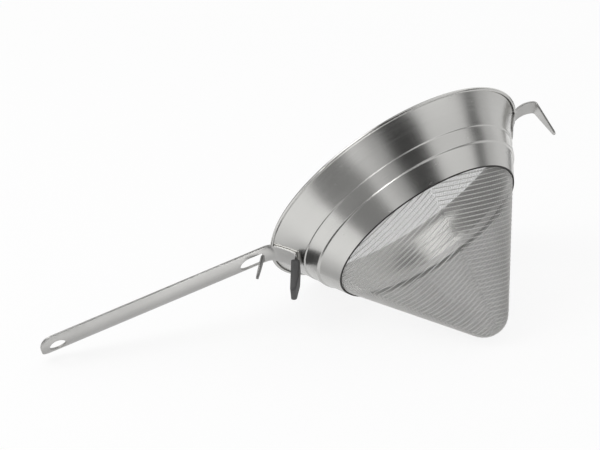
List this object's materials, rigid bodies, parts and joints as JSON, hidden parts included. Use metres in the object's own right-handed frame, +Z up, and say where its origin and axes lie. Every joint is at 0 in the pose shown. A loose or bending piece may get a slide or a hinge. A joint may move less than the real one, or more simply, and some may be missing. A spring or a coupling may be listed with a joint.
{
  "type": "chinois strainer",
  "caption": "Conical wire mesh kitchen strainer with a stepped pressed steel collar, a long strip handle with a hanging hole, a pan rest and a pan hook.",
  "frame": {"origin": "middle of the mouth, in the plane of the rolled rim's top", "axes": "+Z up out of the mouth along the cone's axis, -X along the handle, +X to the pan hook"},
  "size_m": [0.3867, 0.201, 0.1534],
  "materials": {
    "collar_steel": "satin polished pressed stainless steel",
    "handle_steel": "satin stainless steel strip",
    "cloth_steel": "drawn stainless steel wire, woven",
    "inner_steel": "plain rolled stainless steel strip and welds inside the collar",
    "weld_steel": "slightly tinted spot welds",
    "sleeve_plastic": "matt dark grey moulded sleeve"
  },
  "bodies": {
    "root": {"collar": "collar_steel", "coarse_mesh": "cloth_steel", "fine_mesh": "cloth_steel", "clamp_ring": "inner_steel", "ring_tack_welds": "inner_steel", "handle": "handle_steel", "handle_spot_welds": "weld_steel", "foot_sleeve": "sleeve_plastic", "pan_hook": "handle_steel", "hook_spot_welds": "weld_steel"}
  },
  "joints": []
}
